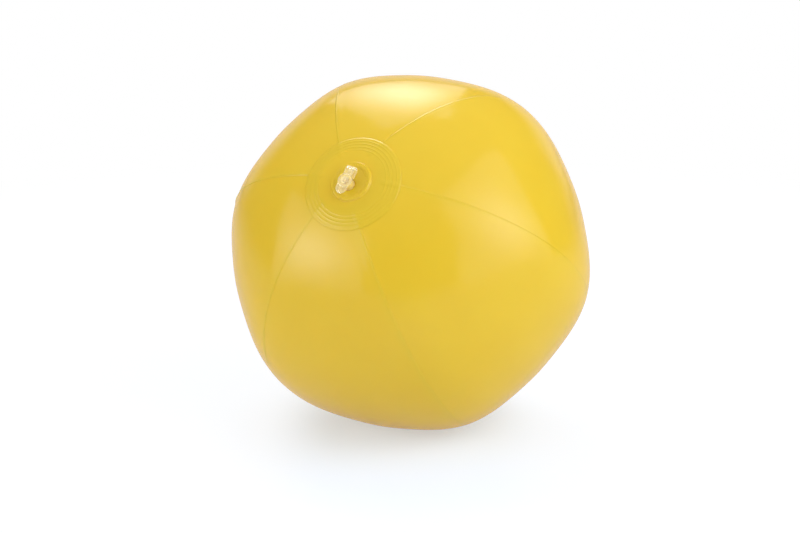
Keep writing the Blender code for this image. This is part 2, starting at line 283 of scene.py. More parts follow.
def moulded_vinyl(name, tint, clearness, cover, glow):
    """Injection-moulded soft PVC.

    Clearness is the share of light it lets through, cover how much it hides what is behind, and glow
    how much light it spreads. The eye sees bright outlines where the thin edges turn away, the yellow
    film through the flat faces, and a faint haze with flow marks from the mould.
    """
    if name in bpy.data.materials:
        return bpy.data.materials[name]
    material = new_material(name)
    tree = material.node_tree
    place = add_node(tree, "ShaderNodeTexCoord").node.outputs["Object"]
    flow = add_node(tree, NOISE, named={"Vector": place, "Scale": 1 / FLOW_MARKS, "Distortion": 0.6})
    surface = add_node(tree, BUMP, named={"Height": flow, "Strength": 0.3, "Distance": 0.00006})
    haze = add_node(tree, NOISE, named={"Vector": place, "Scale": 1 / MOULD_HAZE})
    rough = add_node(tree, MAP_RANGE, haze, *NOISE_SPAN, *VINYL_ROUGHNESS)
    body = add_node(
        tree,
        "ShaderNodeBsdfPrincipled",
        named={
            "Base Color": tint,
            "Roughness": rough,
            "IOR": PVC_IOR,
            "Alpha": cover,
            "Transmission Weight": clearness,
            "Sheen Weight": 1.0,
            "Sheen Roughness": 0.25,
            "Normal": surface,
        },
    )
    spread = add_node(tree, "ShaderNodeBsdfTranslucent", tint)
    vinyl = add_node(tree, "ShaderNodeMixShader", glow, body, spread)
    add_node(tree, "ShaderNodeOutputMaterial", vinyl)
    return material


def clear_vinyl():
    """Nearly colourless vinyl of the plug, its strap, the flange and the flap."""
    tint = bpy.context.scene.ball_finishes.vinyl
    return moulded_vinyl("moulded_clear_soft_pvc", tint, clearness=0.7, cover=0.4, glow=0.11)


def thick_vinyl():
    """The same vinyl where there is more of it to see through: in the plug's middle, over its pin."""
    tint = bpy.context.scene.ball_finishes.vinyl
    return moulded_vinyl("moulded_thick_soft_pvc", tint, clearness=0.5, cover=0.55, glow=0.1)


def tinted_vinyl():
    """Vinyl of the stem and its neck, with a little of the film's yellow."""
    tint = bpy.context.scene.ball_finishes.tinted_vinyl
    return moulded_vinyl("film_tinted_soft_pvc", tint, clearness=0.3, cover=0.7, glow=0.35)


# Rounds in which the film's reach and the patch's height are found.
REACH_ROUNDS = 4
HEIGHT_ROUNDS = 5


def blown_reach(ball, radius, turn):
    """Sine of the polar angle at which the film is this far from the pole axis, at a turn around it."""
    ridge = abs(math.cos(turn * ball.panel_count / 2))
    swell = ball.seam_rise * ridge**ball.seam_sharpness
    reach = (radius / ball.panel_radius) ** (ball.fullness / 2)
    for _ in range(REACH_ROUNDS):
        reach = (max(radius - swell * reach**2, 0) / ball.panel_radius) ** (ball.fullness / 2)
    return reach


def film_height(ball, radius, turn):
    """Height of the panels' outer face above the ball's centre, near a pole."""
    rise = math.sqrt(1 - blown_reach(ball, radius, turn) ** 2)
    return ball.pole_height * rise ** (2 / ball.fullness)


def rest_height(ball):
    """Height of the ball's centre above the floor, with a panel's middle pressed flat on it."""
    deepest = 0
    for degrees in range(90, 180):
        polar = math.radians(degrees)
        reach = math.sin(polar)
        drop = max(-math.cos(polar), 0)
        outward = ball.panel_radius * reach ** (2 / ball.fullness)
        down = ball.pole_height * drop ** (2 / ball.fullness)
        deepest = max(deepest, outward * math.sin(ball.pole_lean) + down * math.cos(ball.pole_lean))
    return deepest - ball.foot_press


def ball_place(ball):
    """Takes the ball's own frame, with the seams meeting on +Z, to the row frame."""
    lean = Matrix.Rotation(ball.pole_lean, 4, "X")
    return Matrix.Translation((0, 0, rest_height(ball))) @ lean


def patch_tilt(ball, patch):
    """Turns the pole to the valve patch's middle, in the ball's own frame."""
    way = (-math.sin(patch.drift_turn), math.cos(patch.drift_turn), 0)
    return Matrix.Rotation(patch.drift / ball.pole_height, 4, way)


def valve_place(valve):
    """Takes the valve's frame, with its mouth at the origin and the strap along +X, to the row frame."""
    mouth = PLUG_HINGE - STRAP_WAY * valve.hinge_reach - VALVE_AXIS * valve.hinge_height
    turned = Matrix((STRAP_WAY, HINGE_AXIS, VALVE_AXIS)).transposed().to_4x4()
    return Matrix.Translation(mouth) @ turned


def add_piece(name, shape, *materials):
    """An object in the scene, with this mesh, curve, lamp or camera."""
    for material in materials:
        shape.materials.append(material)
    piece = bpy.data.objects.new(name, shape)
    bpy.context.scene.collection.objects.link(piece)
    return piece


def mesh_from(bm, name):
    mesh = bpy.data.meshes.new(name)
    bm.to_mesh(mesh)
    bm.free()
    return mesh


def freeze(piece, place=None):
    """Turns what a piece's modifiers make into a plain mesh piece of the same name, moved to its place."""
    graph = bpy.context.evaluated_depsgraph_get()
    mesh = bpy.data.meshes.new_from_object(
        piece.evaluated_get(graph), preserve_all_data_layers=True, depsgraph=graph
    )
    if not mesh.polygons:
        raise RuntimeError(f"{piece.name} came out empty")
    name = piece.name
    bpy.data.objects.remove(piece)
    mesh.name = name
    mesh.transform(place or Matrix())
    mesh.shade_smooth()
    return add_piece(name, mesh)


def add_wall(piece, thickness, offset=-1):
    """Gives an open film a wall, inwards from its outer face unless the offset says otherwise."""
    wall = piece.modifiers.new("Film", "SOLIDIFY")
    wall.thickness = thickness
    wall.offset = offset
    wall.use_even_offset = True


SOCKET_KINDS = {
    int: "NodeSocketInt",
    float: "NodeSocketFloat",
    tuple: "NodeSocketVector",
    bpy.types.Material: "NodeSocketMaterial",
    type(None): "NodeSocketGeometry",
}


def new_tree(name, values):
    """A Geometry Nodes tree with a named input for each value, and its input sockets.

    None stands for the geometry of the piece itself.
    """
    tree = bpy.data.node_groups.new(name, "GeometryNodeTree")
    for key, value in values.items():
        tree.interface.new_socket(key, in_out="INPUT", socket_type=SOCKET_KINDS[type(value)])
    tree.interface.new_socket("Piece", in_out="OUTPUT", socket_type="NodeSocketGeometry")
    return tree, add_node(tree, "NodeGroupInput").node.outputs


def end_tree(tree, geometry, material):
    """Ends a Geometry Nodes tree with one plain mesh in its material."""
    plain = add_node(tree, "GeometryNodeRealizeInstances", geometry)
    dressed = add_node(tree, "GeometryNodeSetMaterial", plain, None, material)
    add_node(tree, "NodeGroupOutput", dressed)
    return tree


def grow(piece, tree, values):
    """Gives a piece a Geometry Nodes tree, whose named inputs are set by their identifiers."""
    modifier = piece.modifiers.new(tree.name, "NODES")
    modifier.node_group = tree
    for socket in tree.interface.items_tree:
        if socket.in_out == "INPUT" and values[socket.name] is not None:
            modifier[socket.identifier] = values[socket.name]


PANEL_COLUMNS = 140
PANEL_ROWS = 150
EDGE_BAND = 0.006

# Across the flat grid: its edge, and where the close columns of its edge bands end.
GRID_EDGE = 0.5
BAND_END = 0.3

# Where the laps get flatter, by the sine of the polar angle.
LAP_FLATTENS = (0.7, 0.97)
LAP_END_DROP = -0.9

# Where the proud weld edge rises and sinks again, by the polar angle.
PROUD_RISES = (0.9, 1.25)
PROUD_SINKS = (1.7, 2.3)

# The film may lie anywhere on the floor, but not below it.
LOWEST_FILM = (-9.0, -9.0, 0.0)


def panel_tree(values):
    """Blows one film panel: a flat grid is bent onto the ball by the panel's own rule.

    Along the grid's Y the panel runs from pole to pole. Along its X it runs from under the neighbour
    at its first seam to over the next panel at its last seam, with close columns at both seams.
    """
    tree, size = new_tree("Blown panel", values)
    grid = add_node(tree, "GeometryNodeMeshGrid", 1.0, 1.0, size["Columns"], size["Rows"])
    flat = add_node(tree, "GeometryNodeInputPosition")
    spread = add_node(tree, "ShaderNodeSeparateXYZ", flat).node.outputs

    # How far the film is out from the pole axis and up from the ball's middle, on a panel's middle line.
    last_polar = add_node(tree, MATH, math.pi, size["First polar"], operation="SUBTRACT")
    polar = add_node(tree, MAP_RANGE, spread["Y"], -GRID_EDGE, GRID_EDGE, last_polar, size["First polar"])
    reach = add_node(tree, MATH, polar, operation="SINE")
    rise = add_node(tree, MATH, polar, operation="COSINE")
    power = add_node(tree, MATH, 2.0, size["Fullness"], operation="DIVIDE")
    outward = add_node(tree, MATH, reach, power, operation="POWER")
    ring = add_node(tree, MATH, outward, size["Panel radius"], operation="MULTIPLY")
    unsigned = add_node(tree, MATH, rise, operation="ABSOLUTE")
    upward = add_node(tree, MATH, unsigned, power, operation="POWER")
    half = add_node(tree, MATH, rise, operation="SIGN")
    signed = add_node(tree, MATH, half, upward, operation="MULTIPLY")
    height = add_node(tree, MATH, signed, size["Pole height"], operation="MULTIPLY")

    # Distance past the first seam, spread so that a fifth of the columns lie in each edge band.
    arc = add_node(tree, MATH, ring, size["Panel angle"], operation="MULTIPLY")
    under = add_node(tree, MATH, size["Half lap"], -1.0, operation="MULTIPLY")
    bands = add_node(tree, MATH, size["Edge band"], -2.0, arc, operation="MULTIPLY_ADD")
    over = add_node(tree, MATH, size["Edge band"], size["Half lap"], operation="ADD")
    first = add_node(tree, MAP_RANGE, spread["X"], -GRID_EDGE, -BAND_END, under, size["Edge band"])
    middle = add_node(tree, MAP_RANGE, spread["X"], -BAND_END, BAND_END, 0.0, bands)
    last = add_node(tree, MAP_RANGE, spread["X"], BAND_END, GRID_EDGE, 0.0, over)
    past = add_node(tree, MATH, first, middle, operation="ADD")
    past = add_node(tree, MATH, past, last, operation="ADD")

    # The film bows between seams, so the seams stand out as round-topped ridges.
    turn = add_node(tree, MATH, past, ring, operation="DIVIDE")
    share = add_node(tree, MATH, turn, size["Panel angle"], operation="DIVIDE")
    phase = add_node(tree, MATH, share, math.pi, operation="MULTIPLY")
    wave = add_node(tree, MATH, phase, operation="COSINE")
    crest = add_node(tree, MATH, wave, operation="ABSOLUTE")
    bow = add_node(tree, MATH, crest, size["Seam sharpness"], operation="POWER")
    fade = add_node(tree, MATH, reach, reach, operation="MULTIPLY")
    swell = add_node(tree, MATH, bow, fade, operation="MULTIPLY")
    radius = add_node(tree, MATH, swell, size["Seam rise"], ring, operation="MULTIPLY_ADD")
    around = add_node(tree, MATH, size["Panel number"], size["Panel angle"], turn, operation="MULTIPLY_ADD")
    cosine = add_node(tree, MATH, around, operation="COSINE")
    sine = add_node(tree, MATH, around, operation="SINE")
    across = add_node(tree, MATH, cosine, radius, operation="MULTIPLY")
    along = add_node(tree, MATH, sine, radius, operation="MULTIPLY")
    blown = add_node(tree, "ShaderNodeCombineXYZ", across, along, height)

    # At the last seam the film climbs onto the next panel, has a weld bead along it and ends nearly flush.
    # Towards the belly the lap is flatter, as the seams fade from sight there.
    slack = add_node(tree, MAP_RANGE, reach, *LAP_FLATTENS, 1.0, size["Belly lap"], **EASED)
    lap_lift = add_node(tree, MATH, slack, size["Lap lift"], operation="MULTIPLY")
    bead_rise = add_node(tree, MATH, slack, size["Bead rise"], operation="MULTIPLY")
    proud = add_node(tree, MAP_RANGE, polar, *PROUD_RISES, 0.0, size["Proud edge"], **EASED)
    sinks = add_node(tree, MAP_RANGE, polar, *PROUD_SINKS, 1.0, 0.0, **EASED)
    bead_rise = add_node(tree, MATH, proud, sinks, bead_rise, operation="MULTIPLY_ADD")
    beyond = add_node(tree, MATH, past, arc, operation="SUBTRACT")
    foot = add_node(tree, MATH, under, size["Lap climb"], operation="SUBTRACT")
    climb = add_node(tree, MAP_RANGE, beyond, foot, under, 0.0, lap_lift, **EASED)
    apart = add_node(tree, MATH, beyond, operation="ABSOLUTE")
    bead = add_node(tree, MAP_RANGE, apart, 0.0, size["Bead reach"], bead_rise, 0.0, **EASED)
    drop = add_node(tree, MATH, lap_lift, LAP_END_DROP, operation="MULTIPLY")
    flush = add_node(tree, MAP_RANGE, beyond, 0.0, size["Half lap"], 0.0, drop, **EASED)
    lift = add_node(tree, MATH, climb, bead, operation="ADD")
    lift = add_node(tree, MATH, lift, flush, operation="ADD")
    way_out = add_node(tree, VECTOR_MATH, blown, operation="NORMALIZE")
    raised = add_node(tree, VECTOR_MATH, way_out, lift, operation="SCALE")
    raised = add_node(tree, VECTOR_MATH, blown, raised, operation="ADD")

    # Lean the ball over, stand it on the floor and press its foot flat.
    leaning = {"Vector": raised, "Angle": size["Lean"]}
    leant = add_node(tree, "ShaderNodeVectorRotate", rotation_type="X_AXIS", named=leaning)
    lifted = add_node(tree, "ShaderNodeCombineXYZ", 0.0, 0.0, size["Rest height"])
    standing = add_node(tree, VECTOR_MATH, leant, lifted, operation="ADD")
    pressed_flat = add_node(tree, VECTOR_MATH, standing, LOWEST_FILM, operation="MAXIMUM")

    doubled = add_node(tree, MAP_RANGE, beyond, foot, under, 0.0, 1.0, **EASED)
    layered = (grid, None, "film_layers", doubled)
    marked = add_node(tree, "GeometryNodeStoreNamedAttribute", *layered, data_type="FLOAT", domain="POINT")
    shaped = add_node(tree, "GeometryNodeSetPosition", marked, None, pressed_flat)
    return end_tree(tree, shaped, size["Film"])


class BEACH_BALL_OT_panels(bpy.types.Operator):
    """Blow the six film panels, each lapped over the next at its last seam"""

    bl_idname = "beach_ball.panels"
    bl_label = "Film panels"

    def execute(self, context):
        ball = context.scene.ball_sizes
        values = {
            "Panel number": 0.0,
            "Panel angle": 2 * math.pi / ball.panel_count,
            "Panel radius": ball.panel_radius,
            "Seam rise": ball.seam_rise,
            "Seam sharpness": ball.seam_sharpness,
            "Pole height": ball.pole_height,
            "Fullness": ball.fullness,
            "First polar": math.asin((ball.tip_radius / ball.panel_radius) ** (ball.fullness / 2)),
            "Half lap": ball.lap_width / 2,
            "Lap climb": ball.lap_climb,
            "Lap lift": ball.lap_lift,
            "Bead rise": ball.bead_rise,
            "Bead reach": ball.bead_width / 2,
            "Belly lap": ball.belly_lap,
            "Proud edge": 0.0,
            "Edge band": EDGE_BAND,
            "Lean": ball.pole_lean,
            "Rest height": rest_height(ball),
            "Columns": PANEL_COLUMNS,
            "Rows": PANEL_ROWS,
            "Film": calendered_film(),
        }
        tree = panel_tree(values)
        for index in range(ball.panel_count):
            name = f"film_panel_{index + 1}"
            panel = add_piece(name, bpy.data.meshes.new(name))
            is_proud = index + 1 == ball.proud_seam
            values["Panel number"] = float(index)
            values["Proud edge"] = ball.proud_edge if is_proud else 0.0
            values["Bead reach"] = ball.lap_width / 2 if is_proud else ball.bead_width / 2
            grow(panel, tree, values)
            add_wall(panel, ball.film)
            panel = freeze(panel)
            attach(panel, "ball")
            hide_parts(f"panel_{index + 1}")
        return {"FINISHED"}


def smooth_share(value, start, end):
    """Zero before start, one after end, and a smooth rise between."""
    share = min(max((value - start) / (end - start), 0), 1)
    return share * share * (3 - 2 * share)


def spaced(*stops):
    """Values from the first stop on, as (start, step) pairs with the last stop's step unused."""
    values = []
    for (start, step), (end, _) in zip(stops, stops[1:]):
        count = max(round((end - start) / step), 1)
        values += [start + (end - start) * i / count for i in range(count)]
    return values + [stops[-1][0]]


# Points closer than this are one point, in a sheet and in a turned piece.
SAME_POINT = 1e-7
SAME_TURNED_POINT = 1e-6

PATCH_COLUMNS = 240

# Rings of points in a patch, as (radius, distance to the next), close where its relief is fine.
# Those at the hole are counted from its edge.
HOLE_RINGS = [(0, 0.0001), (0.0006, 0.001)]
STEP_RINGS = [(0.0134, 0.00015), (0.0162, 0.0008)]
PLAIN_RINGS = [(0, 0.0015)]
RIM_RINGS = [(0.020, 0.0004), (0.0238, 0.00016)]

# Where the laps under a patch begin to show through it, and how far beside a seam they do.
LAPS_BEGIN = (0.0205, 0.024)
LAP_SIDE = (0.0006, 0.0026)

RIM_WIDTH = 0.001
RIM_LIFT = 0.0001
HOLE_DIP = 0.0004
HOLE_EDGE = 0.0005

# Inside this radius the points of the patch follow the valve, which is off the patch's middle.
FOLLOW_RADIUS = 0.0132

# How much of a second film layer shows in a patch, and where it begins.
PATCH_LAYERS = 0.6
LAYERS_BEGIN = (0.0212, 0.0222)


def bridge(bm, rings):
    """Closes the bands between rings of points."""
    for inner, outer in zip(rings, rings[1:]):
        for i in range(len(inner)):
            j = (i + 1) % len(inner)
            bm.faces.new((inner[i], outer[i], outer[j], inner[j]))


def disc_mesh(name, radii, place, layers):
    """A round sheet whose point at each radius and turn is given by place, with its film layers marked."""
    bm = bmesh.new()
    mark = bm.verts.layers.float.new("film_layers")
    rings = []
    for radius in radii:
        ring = []
        for column in range(PATCH_COLUMNS):
            vert = bm.verts.new(place(radius, 2 * math.pi * column / PATCH_COLUMNS))
            vert[mark] = layers(radius)
            ring.append(vert)
        rings.append(ring)
    bridge(bm, rings)
    bmesh.ops.remove_doubles(bm, verts=bm.verts, dist=SAME_POINT)
    return mesh_from(bm, name)


def patch_mesh(name, ball, patch, tilt, plateau=None, hole_middle=Vector()):
    """Film disc laid over the panel tips, in the patch's own frame.

    With a plateau the middle is flat at that height, over the valve's flange, and has a hole.
    """
    panel_angle = 2 * math.pi / ball.panel_count

    def relief(radius, seam_distance):
        raised = patch.lift
        for i in range(patch.ring_count):
            off_ring = abs(radius - patch.ring_radius - i * patch.ring_pitch) / (patch.ring_width / 2)
            raised += patch.ring_rise * (1 - smooth_share(off_ring, 0, 1))
        over_lap = 1 - smooth_share(abs(seam_distance), *LAP_SIDE)
        raised += patch.seam_show * (smooth_share(radius, *LAPS_BEGIN) * over_lap)
        at_rim = smooth_share(radius, patch.radius - RIM_WIDTH, patch.radius)
        return raised - (patch.lift - RIM_LIFT) * at_rim

    def place(radius, turn):
        height = ball.pole_height
        for _ in range(HEIGHT_ROUNDS):
            point = tilt @ Vector((radius * math.cos(turn), radius * math.sin(turn), height))
            out = math.hypot(point.x, point.y)
            ball_turn = math.atan2(point.y, point.x)
            height += film_height(ball, out, ball_turn) - point.z
        seam_turn = (ball_turn + panel_angle / 2) % panel_angle - panel_angle / 2
        height += relief(radius, seam_turn * out)
        if plateau:
            slope = smooth_share(radius, patch.step_radius, patch.step_radius + patch.step_width)
            height = plateau + (height - plateau) * slope
            height -= HOLE_DIP * (1 - smooth_share(radius, patch.hole, patch.hole + HOLE_EDGE))
        point = Vector((radius * math.cos(turn), radius * math.sin(turn), height))
        in_middle = min(max((FOLLOW_RADIUS - radius) / (FOLLOW_RADIUS - patch.hole), 0), 1)
        return point + hole_middle * in_middle

    def layers(radius):
        return PATCH_LAYERS * smooth_share(radius, *LAYERS_BEGIN)

    inner_rings = PLAIN_RINGS
    if plateau:
        inner_rings = [(patch.hole + past, step) for past, step in HOLE_RINGS] + STEP_RINGS
    radii = spaced(*inner_rings, *RIM_RINGS, (patch.radius, 0))
    return disc_mesh(name, radii, place, layers)


class BEACH_BALL_OT_patches(bpy.types.Operator):
    """Weld the round patches over both poles"""

    bl_idname = "beach_ball.patches"
    bl_label = "Film patches"

    def execute(self, context):
        ball = context.scene.ball_sizes
        patch = context.scene.patch_sizes
        tilt = patch_tilt(ball, patch)
        centre = ball_place(ball)
        far_pole = Matrix.Rotation(math.pi, 4, "X")
        plateau = valve_plateau(context.scene)
        valve_way = (centre @ tilt).to_3x3().inverted() @ STRAP_WAY
        hole_middle = valve_way * -context.scene.valve_sizes.shift
        front = patch_mesh("valve_patch_film", ball, patch, tilt, plateau, hole_middle)
        back = patch_mesh("end_patch_film", ball, patch, Matrix())
        for mesh, turned, node in ((front, tilt, "valve_patch"), (back, far_pole, "end_patch")):
            piece = add_piece(mesh.name, mesh, calendered_film())
            add_wall(piece, patch.film)
            piece = freeze(piece, centre @ turned)
            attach(piece, "ball")
            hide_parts(node)
        return {"FINISHED"}


def valve_plateau(scene):
    """Height of the patch's flat middle above the ball's centre, along the valve's axis."""
    ball = scene.ball_sizes
    valve = scene.valve_sizes
    mouth = valve_place(valve).translation - ball_place(ball).translation
    return mouth.dot(VALVE_AXIS) - valve.stem_stand


# Columns and rows of the round bead that a rib is scaled from.
RIB_MESH = (8, 6)


def rib_tree(values):
    """Stands low rounded ribs on a circle, each pointing at its middle."""
    tree, size = new_tree("Weld ribs", values)
    circle = add_node(tree, "GeometryNodeMeshCircle", size["Count"], size["Radius"])
    bead = add_node(tree, "GeometryNodeMeshUVSphere", *RIB_MESH, 1.0)
    rib = add_node(tree, "GeometryNodeTransform", named={"Geometry": bead, "Scale": size["Rib"]})
    facing = add_node(
        tree,
        "FunctionNodeAlignRotationToVector",
        named={"Vector": add_node(tree, "GeometryNodeInputPosition")},
        axis="X",
        pivot_axis="Z",
    )
    standing = {"Points": circle, "Instance": rib, "Rotation": facing}
    ribs = add_node(tree, "GeometryNodeInstanceOnPoints", named=standing)
    return end_tree(tree, ribs, size["Film"])


class BEACH_BALL_OT_weld_ribs(bpy.types.Operator):
    """Press the ring of short weld ribs around the valve"""

    bl_idname = "beach_ball.weld_ribs"
    bl_label = "Weld ribs"

    def execute(self, context):
        scene = context.scene
        patch = scene.patch_sizes
        values = {
            "Count": patch.rib_count,
            "Radius": patch.rib_radius,
            "Rib": (patch.rib_length / 2, patch.rib_width / 2, patch.rib_rise),
            "Film": calendered_film(),
        }
        ribs = add_piece("valve_weld_ribs", bpy.data.meshes.new("valve_weld_ribs"))
        grow(ribs, rib_tree(values), values)
        on_plateau = Matrix.Translation((0, 0, valve_plateau(scene)))
        tilt = patch_tilt(scene.ball_sizes, patch)
        ribs = freeze(ribs, ball_place(scene.ball_sizes) @ tilt @ on_plateau)
        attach(ribs, "ball")
        return {"FINISHED"}


def filleted(corners, closed=False, steps=5):
    """Rounds (x, y, rounding) corners with short arcs of points."""
    points = []
    for i, (x, y, rounding) in enumerate(corners):
        corner = Vector((x, y))
        inside = closed or 0 < i < len(corners) - 1
        if not rounding or not inside:
            points.append(corner)
            continue
        back = Vector(corners[i - 1][:2]) - corner
        ahead = Vector(corners[(i + 1) % len(corners)][:2]) - corner
        start = corner + back * min(rounding / back.length, 0.5)
        end = corner + ahead * min(rounding / ahead.length, 0.5)
        for step in range(steps + 1):
            t = step / steps
            points.append(start * (1 - t) ** 2 + corner * 2 * t * (1 - t) + end * t**2)
    return points


def add_turned(bm, profile, closed, steps=72):
    """Turns (radius, height) points around Z."""
    verts = [bm.verts.new((point[0], 0, point[1])) for point in profile]
    followers = verts[1:] + verts[:1] if closed else verts[1:]
    edges = [bm.edges.new(pair) for pair in zip(verts, followers)]
    whole = {"angle": 2 * math.pi, "steps": steps, "use_merge": True}
    bmesh.ops.spin(bm, geom=verts + edges, axis=(0, 0, 1), cent=(0, 0, 0), **whole)
    bmesh.ops.remove_doubles(bm, verts=bm.verts, dist=SAME_TURNED_POINT)
    bmesh.ops.recalc_face_normals(bm, faces=bm.faces)


# Roundings of moulded edges.
SOFT_EDGE = 0.0003
FINE_EDGE = 0.0002

STEM_WAIST = 0.00018
BEAD_SLOPE = 0.0003
FOOT_BEAD = 0.0009
MOUTH_DEPTH = 0.0008
NECK_STEPS = 24


class BEACH_BALL_OT_valve_body(bpy.types.Operator):
    """Mould the valve's stem and the thin neck that lets it be pulled out, and finish the flange and flap"""

    bl_idname = "beach_ball.valve_body"
    bl_label = "Valve body"

    def execute(self, context):
        valve = context.scene.valve_sizes
        place = valve_place(valve)
        self.make_stem(valve, place)
        self.make_neck(valve, place)
        for name in ("valve_flange", "valve_flap"):
            node = frame["nodes"][name]
            node.data.materials.clear()
            node.data.materials.append(clear_vinyl())
        return {"FINISHED"}

    def make_stem(self, valve, place):
        """Tube with a bead around its mouth and a foot bead where the neck joins it."""
        outer = valve.stem_radius
        waist = outer - STEM_WAIST
        lip = -valve.stem_lip
        end = -valve.stem_length
        foot = end + FOOT_BEAD
        corners = [
            (valve.stem_bore + SOFT_EDGE, 0, SOFT_EDGE),
            (outer, 0, SOFT_EDGE),
            (outer, lip, SOFT_EDGE),
            (waist, lip - BEAD_SLOPE, FINE_EDGE),
            (waist, foot + BEAD_SLOPE, FINE_EDGE),
            (outer, foot, FINE_EDGE),
            (outer, end, SOFT_EDGE),
            (valve.stem_bore, end, FINE_EDGE),
            (valve.stem_bore, -MOUTH_DEPTH, SOFT_EDGE),
        ]
        bm = bmesh.new()
        add_turned(bm, filleted(corners, closed=True), closed=True)
        stem = add_piece("valve_stem_tube", mesh_from(bm, "valve_stem_tube"), tinted_vinyl())
        stem = freeze(stem, place)
        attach(stem, "stem")
        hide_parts("valve_stem")

    def make_neck(self, valve, place):
        """Cup from the flange's bore down to the stem's foot, which rolls as the stem is pulled."""
        outer = valve.neck_radius - valve.neck_wall / 2
        inner = valve.stem_radius + valve.neck_wall / 2
        depth = valve.neck_bottom - valve.neck_top
        profile = []
        for step in range(NECK_STEPS + 1):
            swing = math.pi / 2 * step / NECK_STEPS
            reach = inner + (outer - inner) * math.cos(swing)
            profile.append((reach, -valve.neck_top - depth * math.sin(swing)))
        bm = bmesh.new()
        add_turned(bm, profile, closed=False)
        neck = add_piece("valve_neck_sleeve", mesh_from(bm, "valve_neck_sleeve"), tinted_vinyl())
        add_wall(neck, valve.neck_wall, offset=0)
        neck = freeze(neck, place)
        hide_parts("valve_neck")
        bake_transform(neck)


def add_rod(bm, points, radius, tallness=1.0, sides=14):
    """A round rod along level points, closed at both ends, its height scaled by its tallness."""
    rings = []
    for i, point in enumerate(points):
        ahead = points[min(i + 1, len(points) - 1)] - points[max(i - 1, 0)]
        beside = Vector((-ahead.y, ahead.x, 0)).normalized()
        ring = []
        for side in range(sides):
            turn = 2 * math.pi * side / sides
            offset = beside * math.cos(turn) * radius + Vector((0, 0, math.sin(turn) * radius * tallness))
            ring.append(bm.verts.new(point + offset))
        rings.append(ring)
    bridge(bm, rings)
    bm.faces.new(rings[0][::-1])
    bm.faces.new(rings[-1])


def tab_outline(reach, radius, steps=28):
    """Level points around a tab with a round end, from the valve's axis out along -X and back."""
    middle = radius - reach
    points = [Vector((0, radius, 0))]
    for step in range(steps + 1):
        turn = math.pi / 2 + math.pi * step / steps
        points.append(Vector((middle + radius * math.cos(turn), radius * math.sin(turn), 0)))
    return points + [Vector((0, -radius, 0))]


PLUG_VOXEL = 0.00013
HOLLOW_SLOPE = 0.0004
NUB_EDGE = 0.0004
PIN_PLAY = 0.0003
PIN_EDGE = 0.0005

# The tab's plate lies this far inside its outline and its faces, where the bead takes over.
TAB_INSET = 0.0002
TAB_SINK = 0.00012
TAB_BEAD_TALLNESS = 1.25

# Grip ribs on the tab: the first one's distance from the tab's end, their pitch, half of the first
# one's length, and how much longer each next half is.
GRIP_RIBS = 3
GRIP_START = 0.0016
GRIP_PITCH = 0.0013
GRIP_HALF = 0.0014
GRIP_GROWTH = 0.0005
GRIP_RADIUS = 0.00028


class BEACH_BALL_OT_plug(bpy.types.Operator):
    """Mould the plug: a dished head on a tapered pin, with a beaded pull tab beside it"""

    bl_idname = "beach_ball.plug"
    bl_label = "Plug"

    def execute(self, context):
        valve = context.scene.valve_sizes
        place = valve_place(valve)
        bm = bmesh.new()
        self.add_head(bm, valve)
        self.add_tab(bm, valve)
        bmesh.ops.recalc_face_normals(bm, faces=bm.faces)
        plug = add_piece("valve_plug_moulding", mesh_from(bm, "valve_plug_moulding"))
        union = plug.modifiers.new("One moulding", "REMESH")
        union.mode = "VOXEL"
        union.voxel_size = PLUG_VOXEL
        soften = plug.modifiers.new("Moulded edges", "SMOOTH")
        soften.factor = 0.5
        soften.iterations = 6
        plug = freeze(plug, place)
        plug.data.materials.clear()
        plug.data.materials.append(clear_vinyl())
        plug.data.materials.append(thick_vinyl())
        to_valve = place.inverted()
        for face in plug.data.polygons:
            over_pin = (to_valve @ face.center).xy.length < valve.dimple_radius
            face.material_index = int(over_pin)
        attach(plug, "plug")
        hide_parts("valve_plug")
        return {"FINISHED"}

    def add_head(self, bm, valve):
        bottom = valve.plug_seat
        top = bottom + valve.plug_thick
        dished = top - valve.dimple_depth
        pin_end = bottom - valve.pin_length
        nub_top = dished + valve.nub_rise
        corners = [
            (0, nub_top, 0),
            (valve.nub_radius, nub_top, NUB_EDGE),
            (valve.nub_radius + HOLLOW_SLOPE, dished, FINE_EDGE),
            (valve.dimple_radius - HOLLOW_SLOPE, dished, SOFT_EDGE),
            (valve.dimple_radius, top, SOFT_EDGE),
            (valve.plug_radius, top, valve.plug_edge),
            (valve.plug_radius, bottom, valve.plug_edge),
            (valve.stem_bore - PIN_PLAY, bottom, FINE_EDGE),
            (valve.pin_tip, pin_end, PIN_EDGE),
            (0, pin_end, 0),
        ]
        add_turned(bm, filleted(corners), closed=False)

    def add_tab(self, bm, valve):
        """Flat tab with a round end, a bead along its edge and grip ribs across it."""
        middle = Vector((0, 0, valve.plug_seat + valve.plug_thick / 2))
        half_thick = Vector((0, 0, valve.tab_thick / 2 - TAB_SINK))
        high = middle + half_thick
        outline = tab_outline(valve.tab_reach - TAB_INSET, valve.tab_radius - TAB_INSET)
        lower = [bm.verts.new(point + middle - half_thick) for point in outline]
        upper = [bm.verts.new(point + high) for point in outline]
        bridge(bm, (lower, upper))
        bm.faces.new(lower[::-1])
        bm.faces.new(upper)
        bead = tab_outline(valve.tab_reach - valve.tab_rim, valve.tab_radius - valve.tab_rim)
        add_rod(bm, [point + middle for point in bead], valve.tab_rim, TAB_BEAD_TALLNESS)
        for i in range(GRIP_RIBS):
            x = GRIP_START + i * GRIP_PITCH - valve.tab_reach
            half = GRIP_HALF + i * GRIP_GROWTH
            ends = [Vector((x, -half, 0)) + high, Vector((x, half, 0)) + high]
            add_rod(bm, ends, GRIP_RADIUS)


# The strap's edge rounding, as a share of its thickness, and the points in each rounding.
STRAP_ROUNDING = 0.42
STRAP_ROUNDING_POINTS = 5

